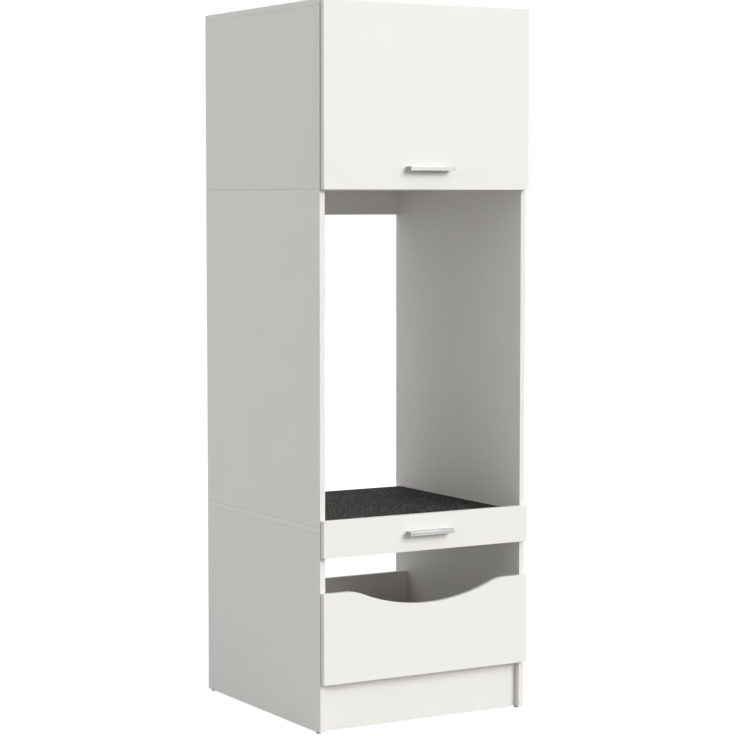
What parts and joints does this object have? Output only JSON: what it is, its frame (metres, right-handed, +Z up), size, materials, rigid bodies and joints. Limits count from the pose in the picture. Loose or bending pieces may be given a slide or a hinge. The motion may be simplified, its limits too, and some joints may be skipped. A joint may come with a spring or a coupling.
{
  "type": "washing machine cabinet",
  "caption": "Tall white cabinet for a washing machine: open bay with a rubber mat, lift-up flap cupboard above, pull-out shelf and laundry pull-out with a wave-cut front below.",
  "frame": {"origin": "on the floor, in the middle of the outline, handles included", "axes": "+Z up, front towards -Y, +X to the right of someone who faces the front"},
  "size_m": [0.67, 0.729, 2],
  "materials": {
    "carcass_board": "white melamine coated chipboard, fine satin grain",
    "front_board": "white melamine front with matching edging, satin",
    "back_panel": "white lacquered thin fibreboard",
    "rubber_mat": "black bonded rubber granulate",
    "black_plastic": "matt black plastic",
    "beech": "fluted beech",
    "zinc": "zinc die cast",
    "nickel_steel": "nickel plated steel",
    "white_runner_steel": "white epoxy coated steel",
    "roller_plastic": "off-white nylon",
    "handle_aluminium": "satin anodised",
    "clear_buffer": "clear soft buffer",
    "stay_black": "black gloss paint"
  },
  "bodies": {
    "cabinet": {"base_side_left": "carcass_board", "base_side_right": "carcass_board", "base_bottom_board": "carcass_board", "plinth_board": "carcass_board", "base_rear_board": "carcass_board", "platform_board": "carcass_board", "anti_vibration_mat": "rubber_mat", "glides": "black_plastic", "bay_side_left": "carcass_board", "bay_side_right": "carcass_board", "bay_rear_rail": "carcass_board", "upper_side_left": "carcass_board", "upper_side_right": "carcass_board", "upper_bottom_board": "carcass_board", "top_board": "carcass_board", "upper_back_panel": "back_panel", "wall_fixing_rail": "carcass_board", "dowels": "beech", "cam_locks": "zinc", "cam_bolts": "zinc", "hinge_plates": "nickel_steel", "hinge_plate_screws": "nickel_steel", "hinge_arms": "nickel_steel", "hinge_arm_pins": "nickel_steel", "stay_side_brackets": "nickel_steel", "stay_bracket_screws": "nickel_steel", "cabinet_runners": "white_runner_steel", "cabinet_runner_screws": "nickel_steel", "front_roller_pins": "nickel_steel"},
    "flap": {"flap_door": "front_board", "flap_handle": "handle_aluminium", "flap_handle_screws": "nickel_steel", "flap_buffers": "clear_buffer", "hinge_cups": "nickel_steel", "hinge_cup_pins": "nickel_steel", "hinge_cup_screws": "nickel_steel", "stay_flap_brackets": "nickel_steel"},
    "hinge_links": {"hinge_links": "nickel_steel"},
    "stay_cylinders": {"stay_cylinders": "stay_black"},
    "stay_rods": {"stay_rods": "nickel_steel"},
    "shelf": {"shelf_board": "carcass_board", "shelf_front": "front_board", "shelf_handle": "handle_aluminium", "shelf_handle_screws": "nickel_steel", "shelf_buffers": "clear_buffer", "shelf_fittings": "zinc", "shelf_runners": "white_runner_steel", "shelf_roller_pins": "nickel_steel"},
    "shelf_front_rollers": {"shelf_front_rollers": "roller_plastic"},
    "shelf_rear_rollers": {"shelf_rear_rollers": "roller_plastic"},
    "laundry": {"laundry_board": "carcass_board", "laundry_front": "front_board", "laundry_rear_stop": "carcass_board", "laundry_buffers": "clear_buffer", "laundry_fittings": "zinc", "laundry_front_brackets": "nickel_steel", "laundry_runners": "white_runner_steel", "laundry_roller_pins": "nickel_steel"},
    "laundry_front_rollers": {"laundry_front_rollers": "roller_plastic"},
    "laundry_rear_rollers": {"laundry_rear_rollers": "roller_plastic"}
  },
  "joints": [
    {"name": "flap_lift", "type": "hinge", "parent": "cabinet", "child": "flap", "pos_m": [0, -0.3385, 1.991], "axis": [-1, 0, 0], "range_deg": [0, 80]},
    {"name": "hinge_link_swing", "type": "hinge", "parent": "cabinet", "child": "hinge_links", "pos_m": [0, -0.32788, 1.9636], "axis": [1, 0, 0], "range_deg": [-0.5, 39.63]},
    {"name": "stay_swing", "type": "hinge", "parent": "cabinet", "child": "stay_cylinders", "pos_m": [0, -0.1505, 1.949], "axis": [1, 0, 0], "range_deg": [-1.7, 0.5]},
    {"name": "stay_extend", "type": "slide", "parent": "stay_cylinders", "child": "stay_rods", "axis": [0, -0.9997, -0.026], "range_m": [-0.0005, 0.07385]},
    {"name": "shelf_slide", "type": "slide", "parent": "cabinet", "child": "shelf", "axis": [0, -1, 0], "range_m": [0, 0.4]},
    {"name": "shelf_front_roller_turn", "type": "hinge", "parent": "cabinet", "child": "shelf_front_rollers", "pos_m": [0, -0.3075, 0.5008], "axis": [1, 0, 0], "range_deg": [-5, 3060.8]},
    {"name": "shelf_rear_roller_turn", "type": "hinge", "parent": "shelf", "child": "shelf_rear_rollers", "pos_m": [0, 0.2105, 0.5008], "axis": [1, 0, 0], "range_deg": [-5, 3060.8]},
    {"name": "laundry_slide", "type": "slide", "parent": "cabinet", "child": "laundry", "axis": [0, -1, 0], "range_m": [0, 0.4]},
    {"name": "laundry_front_roller_turn", "type": "hinge", "parent": "cabinet", "child": "laundry_front_rollers", "pos_m": [0, -0.3075, 0.1678], "axis": [1, 0, 0], "range_deg": [-5, 3060.8]},
    {"name": "laundry_rear_roller_turn", "type": "hinge", "parent": "laundry", "child": "laundry_rear_rollers", "pos_m": [0, 0.2105, 0.1678], "axis": [1, 0, 0], "range_deg": [-5, 3060.8]}
  ],
  "couplings": [
    {"joint": "hinge_link_swing", "follows": "flap_lift", "ratio": 0.48909},
    {"joint": "stay_swing", "follows": "flap_lift", "ratio": -0.020268},
    {"joint": "stay_extend", "follows": "flap_lift", "m_per_rad": 0.05253},
    {"joint": "shelf_front_roller_turn", "follows": "shelf_slide", "rad_per_m": 133.33},
    {"joint": "shelf_rear_roller_turn", "follows": "shelf_slide", "rad_per_m": 133.33},
    {"joint": "laundry_front_roller_turn", "follows": "laundry_slide", "rad_per_m": 133.33},
    {"joint": "laundry_rear_roller_turn", "follows": "laundry_slide", "rad_per_m": 133.33}
  ]
}
